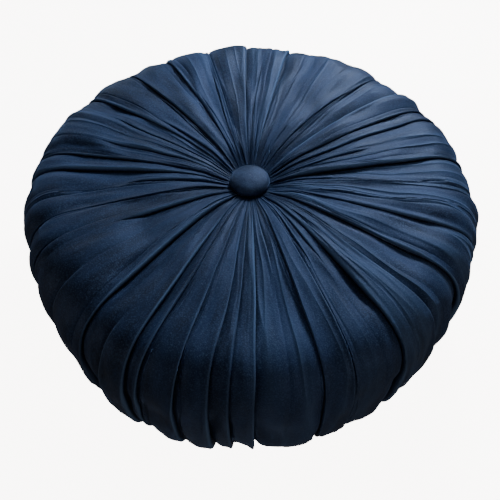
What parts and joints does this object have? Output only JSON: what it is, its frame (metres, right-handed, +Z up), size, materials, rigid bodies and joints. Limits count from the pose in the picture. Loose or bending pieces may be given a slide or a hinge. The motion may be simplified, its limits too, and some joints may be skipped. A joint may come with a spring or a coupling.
{
  "type": "seat cushion",
  "caption": "Thick round seat cushion in gathered velvet, drawn into a dish on both faces by covered buttons tied through a foam and wadding pad.",
  "frame": {"origin": "middle of the underside, on the plane the cushion rests on", "axes": "+Z up through both buttons; the cushion is round about Z, and the wire eyes lie in the XZ plane"},
  "size_m": [0.45, 0.45, 0.162],
  "materials": {
    "velvet": "navy cotton velvet, short even pile with a soft sheen",
    "button_velvet": "the same navy velvet, drawn tight over the button",
    "thread": "navy polyester buttonhole thread",
    "seam_thread": "white spun polyester sewing thread",
    "calico": "unbleached cotton calico, plain weave",
    "wadding": "white polyester wadding",
    "foam": "open-cell polyurethane foam, pale yellow",
    "twine": "waxed linen tufting twine",
    "button_metal": "zinc-plated pressed steel"
  },
  "bodies": {
    "base": {"velvet_cover": "velvet", "bottom_gather_thread": "thread", "liner_side_band": "calico", "liner_bottom_panel": "calico", "liner_bottom_seam_thread": "seam_thread", "wadding_side": "wadding", "wadding_bottom": "wadding", "foam_core": "foam", "tufting_twine": "twine", "twine_knot": "twine"},
    "seat_top": {"top_gather_thread": "thread", "liner_top_panel": "calico", "liner_top_seam_thread": "seam_thread", "wadding_top": "wadding"},
    "top_button": {"top_button_velvet": "button_velvet", "top_button_pad": "wadding", "top_button_shell": "button_metal", "top_button_back_plate": "button_metal", "top_button_wire_eye": "button_metal"},
    "bottom_button": {"bottom_button_velvet": "button_velvet", "bottom_button_pad": "wadding", "bottom_button_shell": "button_metal", "bottom_button_back_plate": "button_metal", "bottom_button_wire_eye": "button_metal"}
  },
  "joints": [
    {"name": "seat_compression", "type": "slide", "parent": "base", "child": "seat_top", "axis": [0, 0, -1], "range_m": [0, 0.0426], "stiffness_N_per_m": 12000, "deforming": ["velvet_cover", "foam_core", "wadding_side", "liner_side_band", "tufting_twine"]},
    {"name": "top_button_spin", "type": "hinge", "parent": "seat_top", "child": "top_button", "pos_m": [0, 0, 0.1427], "axis": [0, 0, 1], "range_deg": [-180, 180]},
    {"name": "bottom_button_spin", "type": "hinge", "parent": "base", "child": "bottom_button", "pos_m": [0, 0, 0.0211], "axis": [0, 0, 1], "range_deg": [-180, 180]}
  ]
}
